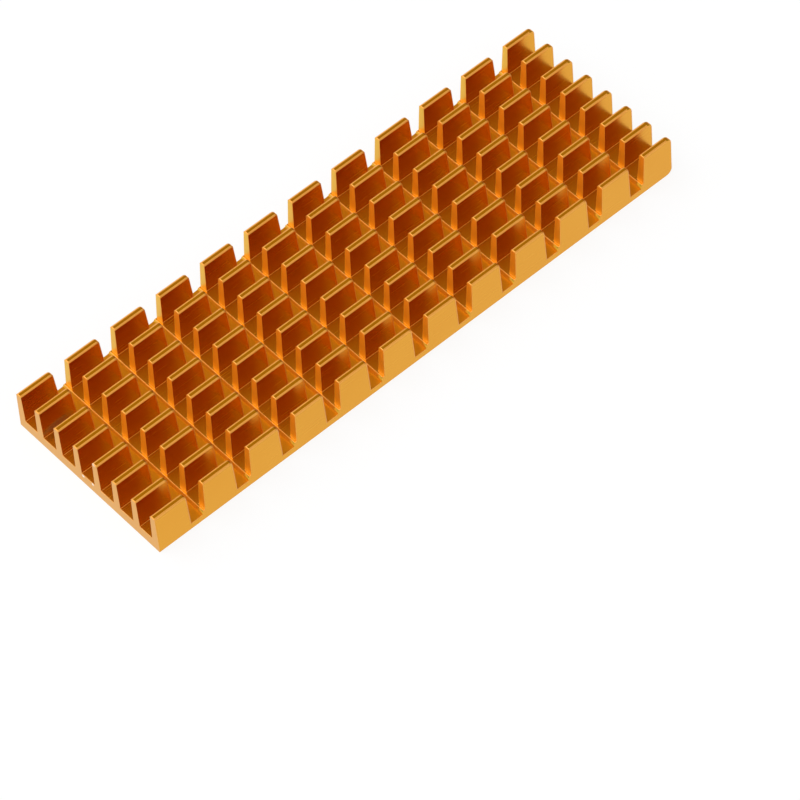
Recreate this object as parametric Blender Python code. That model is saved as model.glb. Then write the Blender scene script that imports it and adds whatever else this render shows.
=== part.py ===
"""Finned aluminium heat sink for a plug-in circuit module.

A comb-shaped extrusion: a thin base that carries a row of fins along X. A saw then cuts it
crosswise, down to just below the floor of the channels, so that each fin becomes a row of short
pins and air can pass in both directions. The flat underside is the thermal face.

The origin is the middle of the thermal face, +X runs along the fins and +Z points out of them.
"""

import math

import bmesh
import bpy
from mathutils import Matrix, Vector

MM = 0.001

# Whole bar
LENGTH = 70.0 * MM
WIDTH = 21.8 * MM
HEIGHT = 5.4 * MM
BASE_THICKNESS = 1.5 * MM
SIDE_DRAW = 0.25 * MM

# Fins, as the extrusion die leaves them
FIN_COUNT = 8
FIN_TIP = 0.75 * MM
FIN_DRAW = 0.14 * MM
OUTER_FIN_TIP = 0.55 * MM
TIP_RADIUS = 0.14 * MM
ROOT_RADIUS = 0.2 * MM
FOOT_RADIUS = 0.3 * MM

# Cross slots, as the saw leaves them
SLOT_COUNT = 11
SLOT_WIDTH = 1.75 * MM
SLOT_FLOOR_WIDTH = 1.45 * MM
SLOT_DEPTH_BELOW_CHANNELS = 0.22 * MM
SLOT_FLOOR_RADIUS = 0.35 * MM
LIP_RADIUS = 0.45 * MM

# End of the bar at +X, rounded where it was cut from the length
END_TOP_RADIUS = 0.3 * MM
END_BOTTOM_RADIUS = 0.9 * MM

# How finely the round stretches are drawn, and how far a cutter runs past what it cuts
FINE_ARC_STEPS = 2
LIP_ARC_STEPS = 4
END_ARC_STEPS = 6
CUTTER_OVERRUN = 1.0 * MM
WELD_DISTANCE = 0.0001 * MM
LARGEST_FILLET_SHARE = 0.48
SMOOTH_ANGLE = math.radians(50)

# Gold anodised aluminium
GOLD = (0.80, 0.40, 0.08, 1.0)
GOLD_ROUGHNESS = 0.35

# Each outline is drawn flat and then stood up: the comb faces along X, the slots along Y
FACING_X = Matrix(((0, 0, 1), (1, 0, 0), (0, 1, 0))).to_4x4()
FACING_Y = Matrix.Rotation(math.pi / 2, 4, "X")


def clear_scene():
    """Remove whatever the scene holds."""
    for obj in list(bpy.data.objects):
        bpy.data.objects.remove(obj, do_unlink=True)


def new_collection(name):
    """Add a collection to the scene and return it."""
    collection = bpy.data.collections.new(name)
    bpy.context.scene.collection.children.link(collection)
    return collection


def gold_anodised():
    """Return the material of the whole part."""
    material = bpy.data.materials.new("gold anodised aluminium")
    material.use_nodes = True
    shader = material.node_tree.nodes["Principled BSDF"]
    shader.inputs["Base Color"].default_value = GOLD
    shader.inputs["Metallic"].default_value = 1.0
    shader.inputs["Roughness"].default_value = GOLD_ROUGHNESS
    material.diffuse_color = GOLD
    return material


def fillet(before, corner, after, radius, steps):
    """Return the points of an arc that rounds a corner between two straight edges."""
    to_before = (before - corner).normalized()
    to_after = (after - corner).normalized()
    half_angle = to_before.angle(to_after) / 2
    centre = corner + (to_before + to_after).normalized() * radius / math.sin(half_angle)
    start = corner + to_before * radius / math.tan(half_angle) - centre
    turn = math.copysign(math.pi - 2 * half_angle, start.cross(corner - centre))
    return [centre + Matrix.Rotation(turn * i / steps, 2) @ start for i in range(steps + 1)]


def rounded_outline(corners, steps):
    """Return a closed outline whose corners, each (x, y, radius), are rounded.

    An arc takes less than half of the shorter edge beside it, so that two arcs never meet.
    """
    points = [Vector(corner[:2]) for corner in corners]
    outline = []
    for i, (_, _, radius) in enumerate(corners):
        before, corner, after = points[i - 1], points[i], points[(i + 1) % len(points)]
        edges = (before - corner), (after - corner)
        half_angle = edges[0].angle(edges[1]) / 2
        longest_reach = LARGEST_FILLET_SHARE * min(edge.length for edge in edges)
        fitted = min(radius, longest_reach * math.tan(half_angle))
        outline += fillet(before, corner, after, fitted, steps)
    return outline


def extruded(name, outline, thickness, placing, collection):
    """Extrude a flat outline to both sides of its plane and return it as a closed mesh object."""
    curve = bpy.data.curves.new(name, "CURVE")
    curve.dimensions = "2D"
    curve.fill_mode = "BOTH"
    curve.extrude = thickness / 2
    spline = curve.splines.new("POLY")
    spline.points.add(len(outline) - 1)
    for point, (x, y) in zip(spline.points, outline):
        point.co = (x, y, 0, 1)
    spline.use_cyclic_u = True
    drawn = bpy.data.objects.new(name + " outline", curve)
    drawn.matrix_world = placing
    collection.objects.link(drawn)
    evaluated = drawn.evaluated_get(bpy.context.evaluated_depsgraph_get())
    mesh = bpy.data.meshes.new_from_object(evaluated)
    solid = bpy.data.objects.new(name, mesh)
    solid.matrix_world = drawn.matrix_world
    collection.objects.link(solid)
    bpy.data.objects.remove(drawn, do_unlink=True)
    close_caps(mesh)
    return solid


def close_caps(mesh):
    """Weld a filled curve's loose caps to its sides and face every polygon outward."""
    shape = bmesh.new()
    shape.from_mesh(mesh)
    bmesh.ops.remove_doubles(shape, verts=shape.verts, dist=WELD_DISTANCE)
    bmesh.ops.recalc_face_normals(shape, faces=shape.faces)
    shape.to_mesh(mesh)
    shape.free()


def make_comb(collection):
    """Extrude the comb section: the base and its fins, still in one length."""
    half_top = WIDTH / 2 - SIDE_DRAW
    channel_count = FIN_COUNT - 1
    inner_fins = (FIN_COUNT - 2) * FIN_TIP
    channel = (2 * half_top - 2 * OUTER_FIN_TIP - inner_fins) / channel_count
    corners = [
        (-WIDTH / 2, 0, FOOT_RADIUS),
        (WIDTH / 2, 0, FOOT_RADIUS),
        (half_top, HEIGHT, TIP_RADIUS),
    ]
    for i in range(channel_count):
        middle = ((channel_count - 1) / 2 - i) * (channel + FIN_TIP)
        at_tip = channel / 2
        at_floor = channel / 2 - FIN_DRAW
        corners += [
            (middle + at_tip, HEIGHT, TIP_RADIUS),
            (middle + at_floor, BASE_THICKNESS, ROOT_RADIUS),
            (middle - at_floor, BASE_THICKNESS, ROOT_RADIUS),
            (middle - at_tip, HEIGHT, TIP_RADIUS),
        ]
    corners.append((-half_top, HEIGHT, TIP_RADIUS))
    outline = rounded_outline(corners, FINE_ARC_STEPS)
    return extruded("heat_sink", outline, LENGTH, FACING_X, collection)


def slot_outline():
    """Return the section of one saw cut, with x = 0 at its upright wall.

    The wall at x = 0 is upright and ends in a small radius at the floor. The wall across from it
    leans, and its top edge is rounded over.
    """
    floor = BASE_THICKNESS - SLOT_DEPTH_BELOW_CHANNELS
    above = HEIGHT + CUTTER_OVERRUN
    floor_edge = Vector((-SLOT_FLOOR_WIDTH, floor))
    lip = Vector((-SLOT_WIDTH, HEIGHT))
    along_top = Vector((-WIDTH, HEIGHT))
    root = Vector((0, floor))
    lip_arc = fillet(floor_edge, lip, along_top, LIP_RADIUS, LIP_ARC_STEPS)
    root_arc = fillet(floor_edge, root, Vector((0, above)), SLOT_FLOOR_RADIUS, FINE_ARC_STEPS)
    return [
        Vector((lip_arc[-1].x, above)),
        *reversed(lip_arc),
        floor_edge,
        *root_arc,
        Vector((0, above)),
    ]


def end_outline():
    """Return the section of the trim at +X, which rounds the top and bottom of the end face."""
    end = LENGTH / 2
    low = Vector((end, 0))
    high = Vector((end, HEIGHT))
    inward = Vector((-LENGTH, 0))
    bottom_arc = fillet(low + inward, low, high, END_BOTTOM_RADIUS, END_ARC_STEPS)
    top_arc = fillet(low, high, high + inward, END_TOP_RADIUS, LIP_ARC_STEPS)
    beyond = end + CUTTER_OVERRUN
    return [
        Vector((bottom_arc[0].x, -CUTTER_OVERRUN)),
        *bottom_arc,
        *top_arc,
        Vector((top_arc[-1].x, HEIGHT + CUTTER_OVERRUN)),
        Vector((beyond, HEIGHT + CUTTER_OVERRUN)),
        Vector((beyond, -CUTTER_OVERRUN)),
    ]


def hide_cutter(cutter):
    """Keep a cutter out of the render and show it as wire."""
    cutter.hide_render = True
    cutter.display_type = "WIRE"


def make_cutters(collection):
    """Make the saw cuts, evenly spaced so that every segment has one length, and the end trim."""
    across = WIDTH + 2 * CUTTER_OVERRUN
    pitch = (LENGTH + SLOT_WIDTH) / (SLOT_COUNT + 1)
    for i in range(SLOT_COUNT):
        cutter = extruded(f"slot_{i + 1:02d}", slot_outline(), across, FACING_Y, collection)
        cutter.location.x = -LENGTH / 2 + (i + 1) * pitch
        hide_cutter(cutter)
    hide_cutter(extruded("end_trim", end_outline(), across, FACING_Y, collection))


def cut(solid, cutters):
    """Take every cutter of a collection away from a solid."""
    boolean = solid.modifiers.new("saw cuts", "BOOLEAN")
    boolean.operation = "DIFFERENCE"
    boolean.operand_type = "COLLECTION"
    boolean.collection = cutters
    boolean.solver = "EXACT"


def main():
    """Build the heat sink."""
    clear_scene()
    parts = new_collection("heat sink")
    cutters = new_collection("cutters")
    cutters.hide_render = True
    comb = make_comb(parts)
    comb.data.materials.append(gold_anodised())
    comb.data.shade_smooth()
    comb.data.set_sharp_from_angle(angle=SMOOTH_ANGLE)
    make_cutters(cutters)
    cut(comb, cutters)


main()
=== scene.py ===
"""Looks of the finned heat sink: gold anodised aluminium, extruded, then sawn crosswise into pins.

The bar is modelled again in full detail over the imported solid, with every edge broken the way
its own process leaves it. Its lengths are in millimetres, and those of the studio in metres.
"""

from __future__ import annotations

import logging
import math
import random
from dataclasses import dataclass, field
from enum import Enum
from typing import Any, Callable

import bmesh
import bpy
from mathutils import Matrix, Vector

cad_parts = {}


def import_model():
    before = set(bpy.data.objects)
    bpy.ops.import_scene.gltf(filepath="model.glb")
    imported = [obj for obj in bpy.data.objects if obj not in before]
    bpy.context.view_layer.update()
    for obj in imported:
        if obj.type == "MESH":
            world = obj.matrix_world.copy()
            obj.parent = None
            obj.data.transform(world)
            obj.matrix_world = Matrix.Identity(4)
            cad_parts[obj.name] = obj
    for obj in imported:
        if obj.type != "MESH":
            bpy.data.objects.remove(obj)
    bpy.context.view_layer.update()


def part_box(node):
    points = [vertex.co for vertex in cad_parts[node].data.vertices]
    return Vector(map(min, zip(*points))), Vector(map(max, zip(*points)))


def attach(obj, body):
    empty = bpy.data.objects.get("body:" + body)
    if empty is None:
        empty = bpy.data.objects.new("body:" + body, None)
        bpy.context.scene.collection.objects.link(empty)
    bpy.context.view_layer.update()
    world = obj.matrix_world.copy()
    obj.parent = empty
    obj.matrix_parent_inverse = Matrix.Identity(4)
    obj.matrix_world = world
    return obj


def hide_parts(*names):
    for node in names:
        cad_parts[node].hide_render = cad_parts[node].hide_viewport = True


MM = 0.001
NODE = "heat_sink"

# Width at the foot in millimetres, before the long edges are rounded. The frame's box is narrower.
SHARP_WIDTH = 21.8

X_AXIS = Vector((1, 0, 0))
Y_AXIS = Vector((0, 1, 0))
Z_AXIS = Vector((0, 0, 1))

# How much of an axis an edge or a normal shares when it counts as partly, mostly or fully along it
PARTLY = 0.3
MOSTLY = 0.7
FULLY = 0.9

# The X of a normal on a rounded lip: more than on the level tips, less than on the upright walls
LIP_LEAST = 0.05
LIP_MOST = 0.995

# The Mix node's sockets for its two colours and for what comes out
COLOUR_A = 6
COLOUR_B = 7
MIXED = 2

WHITE = (1.0, 1.0, 1.0, 1.0)

log = logging.getLogger("heat sink")


def linear(colour: str) -> tuple[float, float, float, float]:
    """Turn an sRGB hex colour into Blender's linear RGBA.

    Args:
        colour: Six hex digits with a leading #.

    Returns:
        The red, green, blue and alpha that a node socket takes.
    """
    channels = (int(colour[i : i + 2], 16) / 255 for i in (1, 3, 5))
    # The numbers are those of the sRGB standard's transfer curve
    red, green, blue = (
        c / 12.92 if c <= 0.04045 else ((c + 0.055) / 1.055) ** 2.4 for c in channels
    )
    return red, green, blue, 1.0


def add_node(
    tree: bpy.types.NodeTree,
    kind: str,
    inputs: dict[str | int, Any] | None = None,
    **settings: Any,
) -> bpy.types.Node:
    """Add a node to a tree with its settings, values and links.

    Args:
        tree: The tree that the node goes into.
        kind: The node's Blender type name.
        inputs: A value, or another node's output socket, for each input name or number.
        settings: The node's own properties.

    Returns:
        The new node.
    """
    node = tree.nodes.new(kind)
    for name, value in settings.items():
        setattr(node, name, value)
    for key, value in (inputs or {}).items():
        if isinstance(value, bpy.types.NodeSocket):
            tree.links.new(value, node.inputs[key])
        else:
            node.inputs[key].default_value = value
    return node


class Surface(Enum):
    """How a face of the bar was made. The value is its material's place on the object."""

    EXTRUDED = 0
    FIN_TIP = 1
    SAWN_WALL = 2
    SAWN_FLOOR = 3
    END_CUT = 4
    # Its finish is paler than the rest, a painted highlight along the rounded edges
    BROKEN_EDGE = 5


@dataclass(frozen=True)
class Flaw:
    """A place where the finish is worn or stained.

    Args:
        place: Its middle, in millimetres.
        reach: How far it spreads along each axis, in millimetres.
        colour: What the flaw shows.
        matt: How much of the metal's shine it hides, from 0 to 1.
        strength: How fully the flaw covers the finish, from 0 to 1.
        rim_waves: How many times its rim swings in and out over its longest reach.
        raggedness: How far the rim swings, as a share of the reach.
        full_within: Share of the reach up to which the flaw is whole.
        gone_beyond: Share of the reach past which nothing of it is left.
    """

    place: tuple[float, float, float]
    reach: tuple[float, float, float]
    colour: str
    matt: float = 0.0
    strength: float = 1.0
    rim_waves: float = 1.5
    raggedness: float = 0.8
    full_within: float = 0.7
    gone_beyond: float = 1.4

    def cover(self, tree: bpy.types.NodeTree, place: bpy.types.NodeSocket) -> bpy.types.NodeSocket:
        """Work out how far the flaw covers each place, with a ragged rim.

        Args:
            tree: The finish's node tree.
            place: The Object coordinates.

        Returns:
            A socket from 0, untouched, to the flaw's strength.
        """
        middle = tuple(c * MM for c in self.place)
        shares = tuple(1 / (r * MM) for r in self.reach)
        rim_scale = self.rim_waves / (max(self.reach) * MM)
        offset = add_node(
            tree, "ShaderNodeVectorMath", {0: place, 1: middle}, operation="SUBTRACT"
        )
        scaled = add_node(
            tree, "ShaderNodeVectorMath", {0: offset.outputs[0], 1: shares}, operation="MULTIPLY"
        )
        distance = add_node(
            tree, "ShaderNodeVectorMath", {0: scaled.outputs[0]}, operation="LENGTH"
        )
        rim = add_node(
            tree, "ShaderNodeTexNoise", {"Vector": place, "Scale": rim_scale, "Detail": 2.0}
        )
        ragged = add_node(
            tree,
            "ShaderNodeMath",
            {0: rim.outputs["Fac"], 1: self.raggedness, 2: distance.outputs["Value"]},
            operation="MULTIPLY_ADD",
        )
        return add_node(
            tree,
            "ShaderNodeMapRange",
            {
                "Value": ragged.outputs[0],
                "From Min": self.full_within,
                "From Max": self.gone_beyond,
                "To Min": self.strength,
                "To Max": 0.0,
            },
            interpolation_type="SMOOTHSTEP",
        ).outputs[0]


@dataclass(frozen=True)
class AnodisedFinish:
    """Gold anodised aluminium, as one process leaves its surface.

    Args:
        name: What the finish is called in a workshop.
        colour: The dyed oxide's colour at right angles.
        deep_colour: Where the dye took more strongly, in soft patches.
        roughness: How satin the etched surface is.
        line_pitch: Distance between the process's marks, in millimetres.
        line_depth: Height of the marks, in millimetres.
        across: How quickly the marks change along each axis, from 0 along them to 1 across.
        metallic: Below 1 where dye and scratches scatter a share of the light.
        flaws: Its worn and stained places.
        patch_size: Distance between the dye's patches, in millimetres.
        line_stretch: A mark's pitch as a share of its length.
        roughness_swing: How much the marks raise and lower the roughness, as a share of it.
        bump_strength: How much of the marks' height the light sees.
    """

    name: str
    colour: str
    deep_colour: str
    roughness: float
    line_pitch: float
    line_depth: float
    across: tuple[float, float, float]
    metallic: float = 1.0
    flaws: tuple[Flaw, ...] = ()
    patch_size: float = 6.0
    line_stretch: float = 0.02
    roughness_swing: float = 0.15
    bump_strength: float = 0.3

    def marks(self, tree: bpy.types.NodeTree, place: bpy.types.NodeSocket) -> bpy.types.NodeSocket:
        """Draw the marks of the die or the saw.

        Args:
            tree: The finish's node tree.
            place: The Object coordinates.

        Returns:
            A socket from 0, in a mark, to 1, on the ridge beside it.
        """
        frequency = 1 / (self.line_pitch * MM)
        scale = tuple(max(abs(a), self.line_stretch) * frequency for a in self.across)
        stretched = add_node(tree, "ShaderNodeMapping", {"Vector": place, "Scale": scale})
        marks = add_node(
            tree,
            "ShaderNodeTexNoise",
            {"Vector": stretched.outputs[0], "Scale": 1.0, "Detail": 3.0, "Roughness": 0.6},
        )
        return marks.outputs["Fac"]

    def dye(self, tree: bpy.types.NodeTree, place: bpy.types.NodeSocket) -> bpy.types.NodeSocket:
        """Colour the oxide in soft patches.

        Args:
            tree: The finish's node tree.
            place: The Object coordinates.

        Returns:
            The colour's socket.
        """
        patches = add_node(
            tree,
            "ShaderNodeTexNoise",
            {
                "Vector": place,
                "Scale": 1 / (self.patch_size * MM),
                "Detail": 2.0,
                "Roughness": 0.5,
            },
        )
        shade = add_node(
            tree,
            "ShaderNodeMix",
            {
                "Factor": patches.outputs["Fac"],
                COLOUR_A: linear(self.colour),
                COLOUR_B: linear(self.deep_colour),
            },
            data_type="RGBA",
        )
        return shade.outputs[MIXED]

    def material(self) -> bpy.types.Material:
        """Make the finish as a node material on Object coordinates.

        Returns:
            The new material.
        """
        material = bpy.data.materials.new(self.name)
        material.use_nodes = True
        tree = material.node_tree
        tree.nodes.clear()
        place = add_node(tree, "ShaderNodeTexCoord").outputs["Object"]
        marks = self.marks(tree, place)
        colour = self.dye(tree, place)
        metallic = self.metallic
        for flaw in self.flaws:
            cover = flaw.cover(tree, place)
            stained = add_node(
                tree,
                "ShaderNodeMix",
                {"Factor": cover, COLOUR_A: colour, COLOUR_B: linear(flaw.colour)},
                data_type="RGBA",
            )
            colour = stained.outputs[MIXED]
            if flaw.matt > 0:
                shine = add_node(
                    tree,
                    "ShaderNodeMapRange",
                    {"Value": cover, "To Min": 1.0, "To Max": 1 - flaw.matt},
                )
                dulled = add_node(
                    tree,
                    "ShaderNodeMath",
                    {0: metallic, 1: shine.outputs[0]},
                    operation="MULTIPLY",
                )
                metallic = dulled.outputs[0]
        rough = add_node(
            tree,
            "ShaderNodeMapRange",
            {
                "Value": marks,
                "To Min": self.roughness * (1 - self.roughness_swing),
                "To Max": self.roughness * (1 + self.roughness_swing),
            },
        )
        bump = add_node(
            tree,
            "ShaderNodeBump",
            {"Height": marks, "Strength": self.bump_strength, "Distance": self.line_depth * MM},
        )
        shader = add_node(
            tree,
            "ShaderNodeBsdfPrincipled",
            {
                "Base Color": colour,
                "Metallic": metallic,
                "Roughness": rough.outputs[0],
                "Normal": bump.outputs["Normal"],
            },
        )
        add_node(tree, "ShaderNodeOutputMaterial", {"Surface": shader.outputs[0]})
        return material


@dataclass
class FinnedBar:
    """The whole heat sink: a base, fins along X, and saw cuts across them.

    A cut's steeper wall leads the next row of pins, so it is the leading wall. The wall across
    from it trails the row before, ends in a rounded lip and is the trailing wall. Far is +Y and
    near is -Y.

    Args:
        length: Along X, from the frame.
        width: Along Y at the foot, before the edges are rounded.
        height: Along Z, from the frame.
        base: Height of the channels' floor.
        side_draw: How far the long sides lean inward at the top.
        fin_count: Number of fins, with the two outer ones.
        fin_tip: Thickness of an inner fin at its tip.
        fin_pitch: Distance from one fin to the next.
        fin_draw: How far a fin's face leans out to its root.
        outer_fin_tip: Thickness of an outer fin at its tip.
        saw_pitch: Distance from one cut to the next.
        saw_shift: How far all the cuts stand off an even division of the bar.
        saw_drift: How far each cut strays from its place, from the -X end on.
        slot_floor_width: Width of a cut at its floor, at the far side.
        slot_drop: How far a cut goes below the channels' floor, at the far side.
        near_drop: How much deeper it goes at the near side.
        near_flare: How much wider it is there at its floor.
        near_flare_loss: How much less it is widened there at the tips.
        leading_lean: How far the leading wall leans back at the tips.
        trailing_lean: How far the trailing wall leans back at the tips.
        step_place: Distance from the leading wall to the step that the saw left in the floor.
        step_run: Width of that step's slope.
        step_heights: Least and greatest height of a step.
        step_seed: Picks each cut's step height.
        ledge: Width of the ledge at the foot of the leading wall, level with the channels.
        ledge_radius: Rounding of the ledge's edge.
        riser_run: Width of the slope from a cut's floor up to its ledge.
        largest_radius: The rounding that a bevel weight of 1 stands for.
        near_radius: Rounding of edges that look to the near side.
        far_radius: Rounding of edges that look to the far side.
        root_radius: Rounding of the fins' roots.
        floor_radius: Rounding of the other low edges, along the cuts' floors and the ends' feet.
        leading_tip_radius: Rounding of the leading walls' top edges.
        sharp_radius: What the saw leaves on any other edge.
        lip_radius: Rounding of the trailing walls' lips.
        end_lip_radius: Rounding of the +X end's top edge.
        end_bottom_radius: Rounding of the +X end's bottom edge.
        lip_steps: Number of facets around a lip.
        bevel_steps: Number of facets around any other edge.
        flat_angle: Faces that meet at less are one face.
        break_angle: An edge that turns less than this isn't rounded.
        smooth_angle: An unrounded edge that turns less than this is shaded smooth.
        touch: Places nearer than this are one place.
        shape: The bar while it is modelled.
    """

    length: float
    width: float
    height: float
    base: float = 1.5
    side_draw: float = 0.17
    fin_count: int = 8
    fin_tip: float = 0.75
    fin_pitch: float = 2.993
    fin_draw: float = 0.12
    outer_fin_tip: float = 0.73
    saw_pitch: float = 5.979
    saw_shift: float = 0.05
    saw_drift: tuple[float, ...] = (
        0.0, 0.04, 0.06, -0.04, -0.12, -0.10, -0.11, -0.05, 0.16, 0.09, 0.05,
    )
    slot_floor_width: float = 1.5
    slot_drop: float = 0.22
    near_drop: float = 0.38
    near_flare: float = 0.28
    near_flare_loss: float = 0.14
    leading_lean: float = 0.19
    trailing_lean: float = 0.3
    step_place: float = 0.66
    step_run: float = 0.05
    step_heights: tuple[float, float] = (0.005, 0.025)
    step_seed: int = 7
    ledge: float = 0.26
    ledge_radius: float = 0.06
    riser_run: float = 0.15
    largest_radius: float = 0.3
    near_radius: float = 0.17
    far_radius: float = 0.26
    root_radius: float = 0.05
    floor_radius: float = 0.06
    leading_tip_radius: float = 0.1
    sharp_radius: float = 0.03
    lip_radius: float = 0.4
    end_lip_radius: float = 0.7
    end_bottom_radius: float = 0.8
    lip_steps: int = 6
    bevel_steps: int = 4
    flat_angle: float = math.radians(0.5)
    break_angle: float = math.radians(20)
    smooth_angle: float = math.radians(40)
    touch: float = 0.001
    shape: bmesh.types.BMesh = field(default_factory=bmesh.new, repr=False)

    @property
    def slot_floor(self) -> float:
        """Height of the saw cuts' floor at the far side."""
        return self.base - self.slot_drop

    def starts(self) -> list[float]:
        """Where each saw cut's leading wall stands at its foot, from the -X end on."""
        first = self.saw_pitch + self.saw_shift - self.length / 2
        return [first + i * self.saw_pitch + drift for i, drift in enumerate(self.saw_drift)]

    def channel_sides(self) -> list[tuple[float, float]]:
        """Work out where the channels between the fins lie, at the fins' tips.

        Returns:
            The lower and higher Y of each channel, from the far channel to the near one.
        """
        inner = (self.fin_pitch - self.fin_tip) / 2
        outer = self.width / 2 - self.side_draw - self.outer_fin_tip
        last = self.fin_count - 2
        sides = []
        for i in range(self.fin_count - 1):
            middle = (last / 2 - i) * self.fin_pitch
            low = -outer if i == last else middle - inner
            high = outer if i == 0 else middle + inner
            sides.append((low, high))
        return sides

    def floor_sides(self) -> list[tuple[float, float]]:
        """The lower and higher Y of each channel at its floor."""
        return [(low + self.fin_draw, high - self.fin_draw) for low, high in self.channel_sides()]

    def in_slot(self, x: float) -> bool:
        """Say whether an X lies in a saw cut."""
        return any(start - self.slot_floor_width < x < start for start in self.starts())

    def in_channel(self, y: float) -> bool:
        """Say whether a Y lies in a channel, measured at the channels' floor."""
        return any(low < y < high for low, high in self.floor_sides())

    def nearness(self, y: float) -> float:
        """Say how near a Y is, from 0 at the far side to 1 at the near side."""
        return 0.5 - y / self.width

    def on_riser(self, x: float, z: float) -> bool:
        """Say whether a place lies on the slope from a saw cut's floor up to its ledge."""
        reach = self.ledge + self.riser_run + self.touch
        return z < self.base - self.touch and any(0 < s - x < reach for s in self.starts())

    def cut(self, position: float, axis: Vector) -> None:
        """Score the whole shape with a plane at right angles to an axis.

        Args:
            position: Where the plane crosses the axis.
            axis: The axis, as a unit vector.
        """
        everything = self.shape.verts[:] + self.shape.edges[:] + self.shape.faces[:]
        bmesh.ops.bisect_plane(
            self.shape, geom=everything, dist=self.touch, plane_co=axis * position, plane_no=axis
        )

    def raise_faces(
        self, from_height: float, to_height: float, wanted: Callable[[Vector], bool]
    ) -> None:
        """Extrude the upward faces at one height, where they are wanted, to another height.

        Args:
            from_height: Where the faces lie.
            to_height: Where they end up.
            wanted: Says of a face's middle whether the face is raised.
        """
        faces = [
            face
            for face in self.shape.faces
            if face.normal.z > FULLY
            and abs(face.calc_center_median().z - from_height) < self.touch
            and wanted(face.calc_center_median())
        ]
        edges = list(dict.fromkeys(edge for face in faces for edge in face.edges))
        made = bmesh.ops.extrude_face_region(self.shape, geom=faces + edges)["geom"]
        moved = [item for item in made if isinstance(item, bmesh.types.BMVert)]
        bmesh.ops.translate(self.shape, verts=moved, vec=Z_AXIS * (to_height - from_height))
        self.shape.normal_update()

    def build_blocks(self) -> None:
        """Raise the pins and the channel floors from a scored slab."""
        size = Vector((self.length, self.width, self.slot_floor))
        placing = Matrix.Translation((0, 0, size.z / 2)) @ Matrix.Diagonal(size.to_4d())
        bmesh.ops.create_cube(self.shape, size=1.0, matrix=placing)
        for start in self.starts():
            foot = start - self.slot_floor_width
            step = start - self.step_place
            ledge = start - self.ledge
            for x in (foot, step, step + self.step_run, ledge - self.riser_run, ledge, start):
                self.cut(x, X_AXIS)
        for low, high in self.floor_sides():
            self.cut(low, Y_AXIS)
            self.cut(high, Y_AXIS)
        self.shape.normal_update()
        self.raise_faces(self.slot_floor, self.base, lambda c: not self.in_slot(c.x))
        self.raise_faces(
            self.base, self.height, lambda c: not self.in_slot(c.x) and not self.in_channel(c.y)
        )

    def sink_slots(self) -> None:
        """Let each saw cut's floor fall to the near side and rise to a level ledge at its wall."""
        draw = random.Random(self.step_seed)
        on_floor = [
            vert for vert in self.shape.verts if abs(vert.co.z - self.slot_floor) < self.touch
        ]
        for start in self.starts():
            foot = start - self.slot_floor_width
            step = start - self.step_place
            step_height = draw.uniform(*self.step_heights)
            for vert in on_floor:
                x, y, _ = vert.co
                if not foot - self.touch < x < start + self.touch:
                    continue
                floor = self.slot_floor - self.near_drop * self.nearness(y)
                if x < step + self.touch:
                    vert.co.z = floor - step_height
                elif x > start - self.ledge - self.touch:
                    vert.co.z = self.base
                else:
                    vert.co.z = floor
        bmesh.ops.remove_doubles(self.shape, verts=self.shape.verts, dist=self.touch)

    def lean(self) -> None:
        """Give the sides, the fins and both walls of the saw cuts their draft."""
        half = self.width / 2
        sides = self.floor_sides()
        for vert in self.shape.verts:
            x, y, z = vert.co
            rise = max(z - self.slot_floor, 0.0) / (self.height - self.slot_floor)
            for start in self.starts():
                if abs(x - start) < self.touch:
                    vert.co.x += self.leading_lean * rise
                elif abs(x - (start - self.slot_floor_width)) < self.touch:
                    flare = self.near_flare - self.near_flare_loss * rise
                    vert.co.x -= self.trailing_lean * rise + self.nearness(y) * flare
            if abs(abs(y) - half) < self.touch:
                vert.co.y -= math.copysign(self.side_draw * z / self.height, y)
            if z > self.base + self.touch:
                for low, high in sides:
                    if abs(y - low) < self.touch:
                        vert.co.y -= self.fin_draw
                    elif abs(y - high) < self.touch:
                        vert.co.y += self.fin_draw

    def put_in_order(self) -> None:
        """Copy the shape with its vertices and faces sorted by place.

        Extruding leaves faces and edges in an order that changes from run to run, and what the
        next operators do depends on it. In this order the bar comes out the same every time.
        """
        ordered = bmesh.new()
        copies = {
            vert: ordered.verts.new(vert.co)
            for vert in sorted(self.shape.verts, key=lambda vert: tuple(vert.co))
        }
        ordered.verts.index_update()
        rings = []
        for face in self.shape.faces:
            ring = [copies[vert] for vert in face.verts]
            first = ring.index(min(ring, key=lambda vert: vert.index))
            rings.append(ring[first:] + ring[:first])
        for ring in sorted(rings, key=lambda ring: [vert.index for vert in ring]):
            ordered.faces.new(ring)
        ordered.normal_update()
        self.shape.free()
        self.shape = ordered

    def merge_flat_faces(self) -> None:
        """Merge faces that lie in one plane, so that no bevel runs into a line between them."""
        bmesh.ops.dissolve_limit(
            self.shape,
            angle_limit=self.flat_angle,
            verts=self.shape.verts,
            edges=self.shape.edges,
        )

    def round_lips(self) -> None:
        """Round the lips that the cuts leave behind them, and both long edges of the +X end."""
        end = self.length / 2 - self.touch
        feet = [start - self.slot_floor_width for start in self.starts()]
        reach = self.trailing_lean + self.near_flare
        crosswise = [
            (edge, sum((vert.co for vert in edge.verts), Vector()) / 2)
            for edge in self.shape.edges
            if abs((edge.verts[1].co - edge.verts[0].co).normalized().y) > FULLY
        ]
        top = [(edge, middle) for edge, middle in crosswise if middle.z > self.height - self.touch]
        lips = [edge for edge, middle in top if any(0 < foot - middle.x < reach for foot in feet)]
        end_lips = [edge for edge, middle in top if middle.x > end]
        end_feet = [edge for edge, middle in crosswise if middle.x > end and middle.z < self.touch]
        for radius, edges in (
            (self.lip_radius, lips),
            (self.end_lip_radius, end_lips),
            (self.end_bottom_radius, end_feet),
        ):
            bmesh.ops.bevel(
                self.shape,
                geom=edges,
                offset=radius,
                offset_type="OFFSET",
                segments=self.lip_steps,
                profile=0.5,
                affect="EDGES",
                clamp_overlap=False,
                material=-1,
            )
        self.shape.normal_update()

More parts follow.
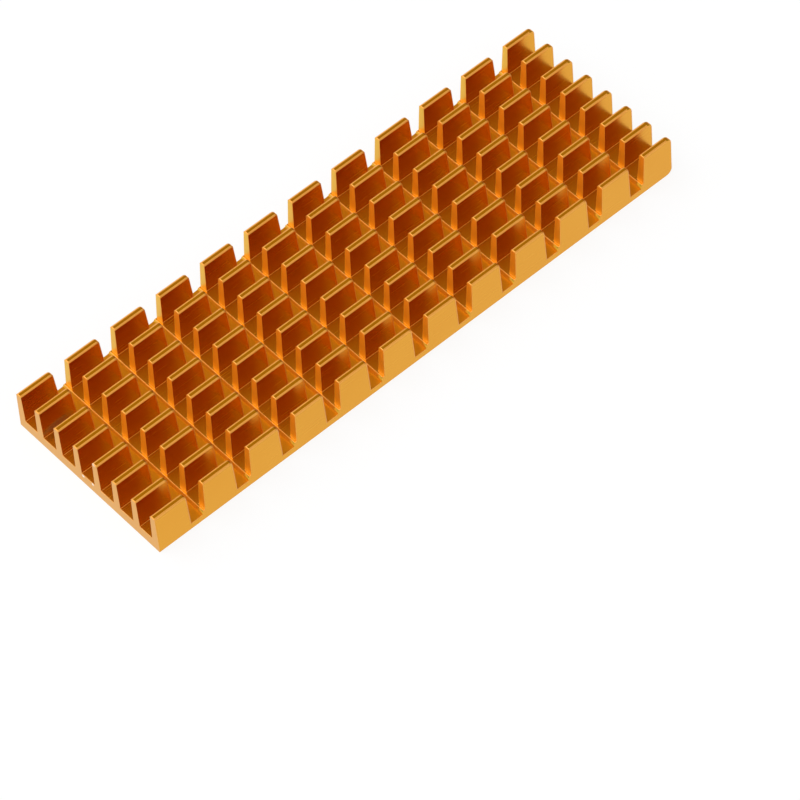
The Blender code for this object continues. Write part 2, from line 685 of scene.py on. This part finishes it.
    def edge_radius(self, edge: bmesh.types.BMEdge) -> float:
        """Work out how far an edge is rounded, from where it lies on the bar.

        Edges in one chain along a side share one radius, because a bevel tapers between two.

        Args:
            edge: An edge of the shape.

        Returns:
            Its radius, which is 0 for an edge that stays as it is.
        """
        a, b = (vert.co for vert in edge.verts)
        along = (b - a).normalized()
        middle = (a + b) / 2
        if len(edge.link_faces) != 2 or edge.calc_face_angle(0.0) < self.break_angle:
            return 0.0
        if self.on_riser(middle.x, middle.z) and middle.z > self.touch:
            return 0.0
        if abs(along.y) > FULLY:
            if middle.z > self.height - self.touch:
                return self.leading_tip_radius
            if middle.z < self.touch:
                return self.floor_radius
            on_ledge = abs(middle.z - self.base) < self.touch and self.in_slot(middle.x)
            return self.ledge_radius if on_ledge else self.sharp_radius
        low = self.touch < middle.z < self.base + self.touch
        at_end = middle.x > self.length / 2 - self.end_bottom_radius
        if abs(along.x) > FULLY and low and not at_end:
            at_root = middle.z > self.base - self.touch
            return self.root_radius if at_root else self.floor_radius
        leading = middle.x < -self.length / 2 + self.touch or any(
            0 <= middle.x - start < self.leading_lean for start in self.starts()
        )
        if leading and abs(along.z) > FULLY:
            return self.sharp_radius
        faces_far = sum(face.normal.y for face in edge.link_faces) > 0
        return self.far_radius if faces_far else self.near_radius

    def mark_edges(self) -> None:
        """Write every edge's rounding as its bevel weight, and keep a hard one sharp."""
        weight = self.shape.edges.layers.float.new("bevel_weight_edge")
        for edge in self.shape.edges:
            edge[weight] = self.edge_radius(edge) / self.largest_radius
            edge.smooth = edge[weight] > 0 or edge.calc_face_angle(0.0) < self.smooth_angle

    def surface(self, face: bmesh.types.BMFace) -> Surface:
        """Tell how a face was made, from where it lies and which way it looks.

        Args:
            face: A face of the shape.

        Returns:
            Its surface.
        """
        centre = face.calc_center_bounds()
        x, y, z = face.normal
        high = centre.z > self.height - self.end_lip_radius
        on_lip = high and LIP_LEAST < x < LIP_MOST and abs(y) < PARTLY
        at_end = centre.x > self.length / 2 - self.end_lip_radius
        if abs(x) > FULLY and abs(abs(centre.x) - self.length / 2) < self.touch:
            return Surface.END_CUT
        if on_lip:
            # A lip's steeper facets take the paler edge finish and its painted highlight
            return Surface.FIN_TIP if z > MOSTLY or at_end else Surface.BROKEN_EDGE
        if self.in_slot(centre.x) and z > MOSTLY:
            return Surface.SAWN_FLOOR
        if abs(x) > PARTLY:
            return Surface.SAWN_WALL
        on_top = z > FULLY and centre.z > self.height - self.touch
        return Surface.FIN_TIP if on_top else Surface.EXTRUDED

    def mark_surfaces(self) -> None:
        """Write each face's surface as its material, and shade it smooth."""
        for face in self.shape.faces:
            face.material_index = self.surface(face).value
            face.smooth = True

    def rounded_mesh(self) -> bpy.types.Mesh:
        """Round the marked edges and scale the bar to metres.

        Returns:
            The finished mesh, with an empty place for each surface's material.
        """
        raw = bpy.data.meshes.new("sharp bar")
        self.shape.to_mesh(raw)
        self.shape.free()
        for _ in Surface:
            raw.materials.append(None)
        sharp = bpy.data.objects.new("sharp bar", raw)
        bpy.context.scene.collection.objects.link(sharp)
        bevel = sharp.modifiers.new("edge breaks", "BEVEL")
        bevel.limit_method = "WEIGHT"
        bevel.width = self.largest_radius
        bevel.segments = self.bevel_steps
        bevel.profile = 0.5
        bevel.use_clamp_overlap = False
        # The rounded strips take the paler edge finish, which paints a soft highlight along every
        # edge
        bevel.material = Surface.BROKEN_EDGE.value
        flat = sharp.modifiers.new("flat faces stay flat", "WEIGHTED_NORMAL")
        flat.weight = 100
        flat.keep_sharp = True
        evaluated = sharp.evaluated_get(bpy.context.evaluated_depsgraph_get())
        mesh = bpy.data.meshes.new_from_object(evaluated)
        # Roundings at the +X end and at the foot go back to the extruded finish, so they carry no
        # painted highlight
        for face in mesh.polygons:
            past_lip = face.center.x > self.length / 2 - self.end_lip_radius
            at_end = past_lip and abs(face.normal.y) < FULLY
            at_foot = face.center.z < self.far_radius
            if face.material_index == Surface.BROKEN_EDGE.value and (at_end or at_foot):
                face.material_index = Surface.EXTRUDED.value
        mesh.transform(Matrix.Scale(MM, 4))
        bpy.data.objects.remove(sharp, do_unlink=True)
        return mesh

    def build(self) -> bpy.types.Object:
        """Model the bar.

        Returns:
            Its object, at the origin, with its materials still empty.
        """
        self.build_blocks()
        self.sink_slots()
        self.lean()
        self.put_in_order()
        self.merge_flat_faces()
        self.round_lips()
        self.mark_edges()
        self.mark_surfaces()
        bar = bpy.data.objects.new("finned_bar", self.rounded_mesh())
        bpy.context.scene.collection.objects.link(bar)
        return bar

    def dress(self, bar: bpy.types.Object, finishes: dict[Surface, AnodisedFinish]) -> None:
        """Give the bar its finishes.

        Args:
            bar: The object that build made.
            finishes: The finish of every surface.
        """
        for surface, finish in finishes.items():
            bar.data.materials[surface.value] = finish.material()


@dataclass(frozen=True)
class SoftBox:
    """A square soft light that faces the object.

    Args:
        name: What the light is for.
        place: Where its middle hangs, in metres from the object.
        size: Length of its side, in metres.
        power: In watts.
    """

    name: str
    place: tuple[float, float, float]
    size: float
    power: float

    def build(self) -> None:
        """Hang the light and turn it to the object."""
        lamp = bpy.data.lights.new(self.name, "AREA")
        lamp.shape = "SQUARE"
        lamp.size = self.size
        lamp.energy = self.power
        holder = bpy.data.objects.new(self.name, lamp)
        holder.location = Vector(self.place)
        holder.rotation_euler = holder.location.to_track_quat("Z", "Y").to_euler()
        bpy.context.scene.collection.objects.link(holder)


@dataclass(frozen=True)
class Studio:
    """A white table under two soft lights and a pale surround.

    The metal shows its surround, so the ceiling is bright at the left and grey at the right,
    and the fins' faces come out light or dark by the way they look. A level of 1 is white.
    Each span is a range of the view direction's X or Z, over which one level turns into another.

    Args:
        lights: The soft lights.
        table_reach: Half of the table's side, in metres.
        card: The table's colour.
        glow_share: How much of the table's white is its own glow. The rest takes the shadow.
        horizon_level: Brightness of the low surround.
        right_horizon_level: Its brightness at the far right.
        horizon_span: The X over which it falls.
        left_level: Brightness of the ceiling at the left.
        right_level: Its brightness at the right.
        ceiling_span: The X over which it falls.
        ceiling_rise: The Z over which the surround becomes ceiling.
    """

    lights: tuple[SoftBox, ...] = (
        SoftBox("key light, far left", place=(-0.3, 0.28, 0.48), size=0.5, power=0.6),
        SoftBox("fill light, near left", place=(-0.35, -0.25, 0.55), size=0.5, power=0.5),
    )
    table_reach: float = 3.0
    card: str = "#F4F4F4"
    glow_share: float = 0.85
    horizon_level: float = 1.0
    right_horizon_level: float = 0.35
    horizon_span: tuple[float, float] = (0.5, 0.75)
    left_level: float = 1.65
    right_level: float = 0.46
    ceiling_span: tuple[float, float] = (-0.2, 0.3)
    ceiling_rise: tuple[float, float] = (0.45, 0.7)

    def build_table(self) -> bpy.types.Object:
        """Lay the white table top.

        Returns:
            Its object.
        """
        shape = bmesh.new()
        bmesh.ops.create_grid(shape, x_segments=1, y_segments=1, size=self.table_reach)
        mesh = bpy.data.meshes.new("table")
        shape.to_mesh(mesh)
        shape.free()
        table = bpy.data.objects.new("table", mesh)
        bpy.context.scene.collection.objects.link(table)
        table.data.materials.append(self.white_card())
        return table

    def white_card(self) -> bpy.types.Material:
        """Make the table's card, which the camera and the metal both see as white.

        Returns:
            The new material.
        """
        material = bpy.data.materials.new("white card")
        material.use_nodes = True
        tree = material.node_tree
        tree.nodes.clear()
        path = add_node(tree, "ShaderNodeLightPath")
        seen = add_node(
            tree,
            "ShaderNodeMath",
            {0: path.outputs["Is Camera Ray"], 1: path.outputs["Is Glossy Ray"]},
            operation="MAXIMUM",
        )
        glow = add_node(
            tree, "ShaderNodeEmission", {"Color": WHITE, "Strength": seen.outputs[0]}
        )
        paper = add_node(tree, "ShaderNodeBsdfDiffuse", {"Color": linear(self.card)})
        share = add_node(
            tree,
            "ShaderNodeMapRange",
            {"Value": path.outputs["Is Glossy Ray"], "To Min": self.glow_share, "To Max": 1.0},
        )
        card = add_node(
            tree,
            "ShaderNodeMixShader",
            {0: share.outputs[0], 1: paper.outputs[0], 2: glow.outputs[0]},
        )
        add_node(tree, "ShaderNodeOutputMaterial", {"Surface": card.outputs[0]})
        return material

    def build_world(self) -> None:
        """Surround the table with white walls and the two-tone ceiling."""
        world = bpy.data.worlds.new("studio")
        bpy.context.scene.world = world
        world.use_nodes = True
        tree = world.node_tree
        tree.nodes.clear()
        view = add_node(tree, "ShaderNodeTexCoord").outputs["Generated"]
        split = add_node(tree, "ShaderNodeSeparateXYZ", {0: view})
        ceiling = add_node(
            tree,
            "ShaderNodeMapRange",
            {
                "Value": split.outputs["X"],
                "From Min": self.ceiling_span[0],
                "From Max": self.ceiling_span[1],
                "To Min": self.left_level,
                "To Max": self.right_level,
            },
            interpolation_type="SMOOTHSTEP",
        )
        horizon = add_node(
            tree,
            "ShaderNodeMapRange",
            {
                "Value": split.outputs["X"],
                "From Min": self.horizon_span[0],
                "From Max": self.horizon_span[1],
                "To Min": self.horizon_level,
                "To Max": self.right_horizon_level,
            },
            interpolation_type="SMOOTHSTEP",
        )
        level = add_node(
            tree,
            "ShaderNodeMapRange",
            {
                "Value": split.outputs["Z"],
                "From Min": self.ceiling_rise[0],
                "From Max": self.ceiling_rise[1],
                "To Min": horizon.outputs[0],
                "To Max": ceiling.outputs[0],
            },
            interpolation_type="SMOOTHSTEP",
        )
        sky = add_node(
            tree, "ShaderNodeBackground", {"Color": WHITE, "Strength": level.outputs[0]}
        )
        add_node(tree, "ShaderNodeOutputWorld", {"Surface": sky.outputs[0]})

    def build(self) -> bpy.types.Object:
        """Set up the surround, the lights and the table.

        Returns:
            The table's object.
        """
        self.build_world()
        for light in self.lights:
            light.build()
        return self.build_table()


@dataclass(frozen=True)
class ProductCamera:
    """The camera at the photograph's viewing angle, fitted to the bar's edges and cuts.

    Args:
        azimuth: Where it stands around the object, in degrees from the -Y axis towards +X.
        elevation: How high it looks down from, in degrees.
        roll: How far it is turned about its own axis, in degrees.
        offset: How far it stands to the right and up of the line to the origin, in millimetres.
        distance: From the origin, in millimetres.
        focal_pixels: Focal length, in pixels of the picture.
        frame_pixels: Width of the picture.
        sensor: Width of the sensor, in millimetres.
        clip_start: Nearest place that it shows, in metres.
    """

    azimuth: float = -38.6529
    elevation: float = 53.0564
    roll: float = -4.1401
    offset: tuple[float, float] = (4.8955, -10.6372)
    distance: float = 471.9940
    focal_pixels: float = 4609.0281
    frame_pixels: int = 800
    sensor: float = 36.0
    clip_start: float = 0.01

    def build(self) -> None:
        """Add the camera and make it the scene's own."""
        azimuth = math.radians(self.azimuth)
        elevation = math.radians(self.elevation)
        sideways = math.sin(azimuth) * math.cos(elevation)
        nearer = math.cos(azimuth) * math.cos(elevation)
        back = Vector((sideways, -nearer, math.sin(elevation)))
        level = Z_AXIS.cross(back).normalized()
        turn = Matrix.Rotation(math.radians(self.roll), 3, back)
        right = turn @ level
        up = turn @ back.cross(level)
        lens = bpy.data.cameras.new("camera")
        lens.sensor_width = self.sensor
        lens.lens = self.focal_pixels * self.sensor / self.frame_pixels
        lens.clip_start = self.clip_start
        camera = bpy.data.objects.new("camera", lens)
        place = (right * self.offset[0] + up * self.offset[1] + back * self.distance) * MM
        facing = Matrix((right, up, back)).transposed().to_4x4()
        camera.matrix_world = Matrix.Translation(place) @ facing
        bpy.context.scene.collection.objects.link(camera)
        bpy.context.scene.camera = camera


# A dull brown stain low on the second fin from the far side, where the metal stops shining
SMUDGE = Flaw(
    place=(-33.2, 7.0, 2.2), reach=(2.6, 1.0, 1.0), colour="#8C5A52", matt=0.8, strength=0.6
)

# Pale specks on the -X end's edges, where the dyed oxide has chipped off the bright metal
END_NICKS = (
    Flaw(place=(-35.0, 0.8, 1.22), reach=(0.3, 0.26, 0.24), colour="#FFF6EC"),
    Flaw(place=(-35.0, -0.7, 1.3), reach=(0.3, 0.26, 0.22), colour="#FFF6EC"),
    Flaw(
        place=(-35.0, -1.35, 5.2), reach=(0.3, 0.26, 0.3), colour="#F8D8C0", matt=0.4, strength=0.8
    ),
)

# The die leaves lines along the bar under the satin oxide, which draw its shine out lengthwise.
# Real ones stand about 0.03 mm apart, too fine to show, and are drawn 0.12 mm apart.
EXTRUDED_GOLD = AnodisedFinish(
    name="gold anodised aluminium, extruded",
    colour="#E6A32B",
    deep_colour="#E29C24",
    roughness=0.26,
    line_pitch=0.12,
    line_depth=0.002,
    across=(0, 1, 1),
    flaws=(SMUDGE,),
)

# The broken edges get a paler colour and less metal than the rest. This is a painted soft
# highlight along every rounded edge, in place of a glint.
# Their grain of some 0.02 mm has no direction and is drawn at 0.15 mm.
EDGE_GOLD_PAINTED_HIGHLIGHT = AnodisedFinish(
    name="gold anodised aluminium, broken edges, painted highlight",
    colour="#F2A848",
    deep_colour="#EEA242",
    roughness=0.35,
    line_pitch=0.15,
    line_depth=0.001,
    across=(1, 1, 1),
    metallic=0.6,
    flaws=END_NICKS,
)

# The narrow tips are the smoothest metal, so each shows a deep stripe between its bright edges,
# whose brightness is partly a painted highlight from the paler edge finish.
# Their die lines are drawn 0.12 mm apart, as those of the faces are.
TIP_GOLD = AnodisedFinish(
    name="gold anodised aluminium, fin tips",
    colour="#E6920C",
    deep_colour="#E28C0A",
    roughness=0.18,
    line_pitch=0.12,
    line_depth=0.001,
    across=(0, 1, 1),
)

# The saw roughens the walls before they are dyed, so they scatter the light and look yellower.
# The scratches run across the bar, and their pitch of some 0.05 mm is drawn at 0.15 mm.
SAWN_WALL_GOLD = AnodisedFinish(
    name="gold anodised aluminium, sawn walls",
    colour="#F2BE38",
    deep_colour="#EEB832",
    roughness=0.4,
    line_pitch=0.15,
    line_depth=0.002,
    across=(1, 0, 1),
    metallic=0.82,
)

# The blade's teeth leave coarse strokes across the cuts' floors, which look matt and streaky.
# The strokes are drawn 0.35 mm apart, so that the floor's narrow strip shows a few of them.
SAWN_FLOOR_GOLD = AnodisedFinish(
    name="gold anodised aluminium, sawn floors",
    colour="#DC8E1A",
    deep_colour="#D68816",
    roughness=0.42,
    line_pitch=0.35,
    line_depth=0.012,
    across=(1, 0, 1),
)

# Cutting to length leaves the ends with fine level strokes, which give them an even, pale satin.
# Their pitch of some 0.05 mm is drawn at 0.15 mm.
END_GOLD = AnodisedFinish(
    name="gold anodised aluminium, cut end",
    colour="#E8A842",
    deep_colour="#E4A038",
    roughness=0.3,
    line_pitch=0.15,
    line_depth=0.003,
    across=(0, 0, 1),
    flaws=END_NICKS,
)

FINISHES = {
    Surface.EXTRUDED: EXTRUDED_GOLD,
    Surface.FIN_TIP: TIP_GOLD,
    Surface.SAWN_WALL: SAWN_WALL_GOLD,
    Surface.SAWN_FLOOR: SAWN_FLOOR_GOLD,
    Surface.END_CUT: END_GOLD,
    Surface.BROKEN_EDGE: EDGE_GOLD_PAINTED_HIGHLIGHT,
}


def main() -> None:
    """Build the heat sink, the studio and the camera."""
    logging.basicConfig(level=logging.INFO)
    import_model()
    low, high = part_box(NODE)
    length, _, height = ((b - a) / MM for a, b in zip(low, high))
    heat_sink = FinnedBar(length=length, width=SHARP_WIDTH, height=height)
    bar = heat_sink.build()
    heat_sink.dress(bar, FINISHES)
    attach(bar, "root")
    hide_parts(NODE)
    log.info("%s: %d faces", bar.name, len(bar.data.polygons))
    Studio().build()
    ProductCamera().build()
    bpy.context.scene.view_settings.view_transform = "Standard"


if __name__ == "__main__":
    main()
